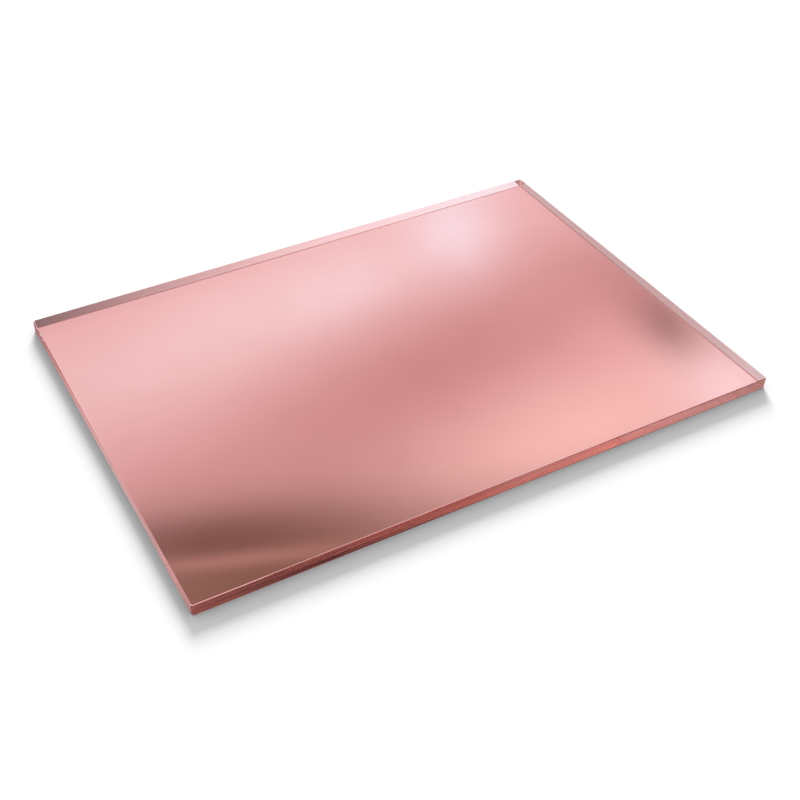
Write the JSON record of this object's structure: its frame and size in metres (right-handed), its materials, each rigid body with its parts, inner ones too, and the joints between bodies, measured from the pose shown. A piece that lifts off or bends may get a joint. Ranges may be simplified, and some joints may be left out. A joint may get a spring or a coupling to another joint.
{
  "type": "mirrored acrylic sheet",
  "caption": "Flat rectangular sheet of rose-gold mirrored acrylic with polished edges, an arrissed front rim and a coated back.",
  "frame": {"origin": "centre of the back coat's face, which is what the sheet rests on", "axes": "+X along the long side, +Y along the short side, +Z out of the front (mirror) face"},
  "size_m": [0.148, 0.105, 0.003],
  "materials": {
    "tinted_acrylic": "polished",
    "mirror_metal": "polished",
    "back_paint": "matte"
  },
  "bodies": {
    "root": {"acrylic_sheet": "tinted_acrylic", "mirror_film": "mirror_metal", "back_coat": "back_paint"}
  },
  "joints": []
}
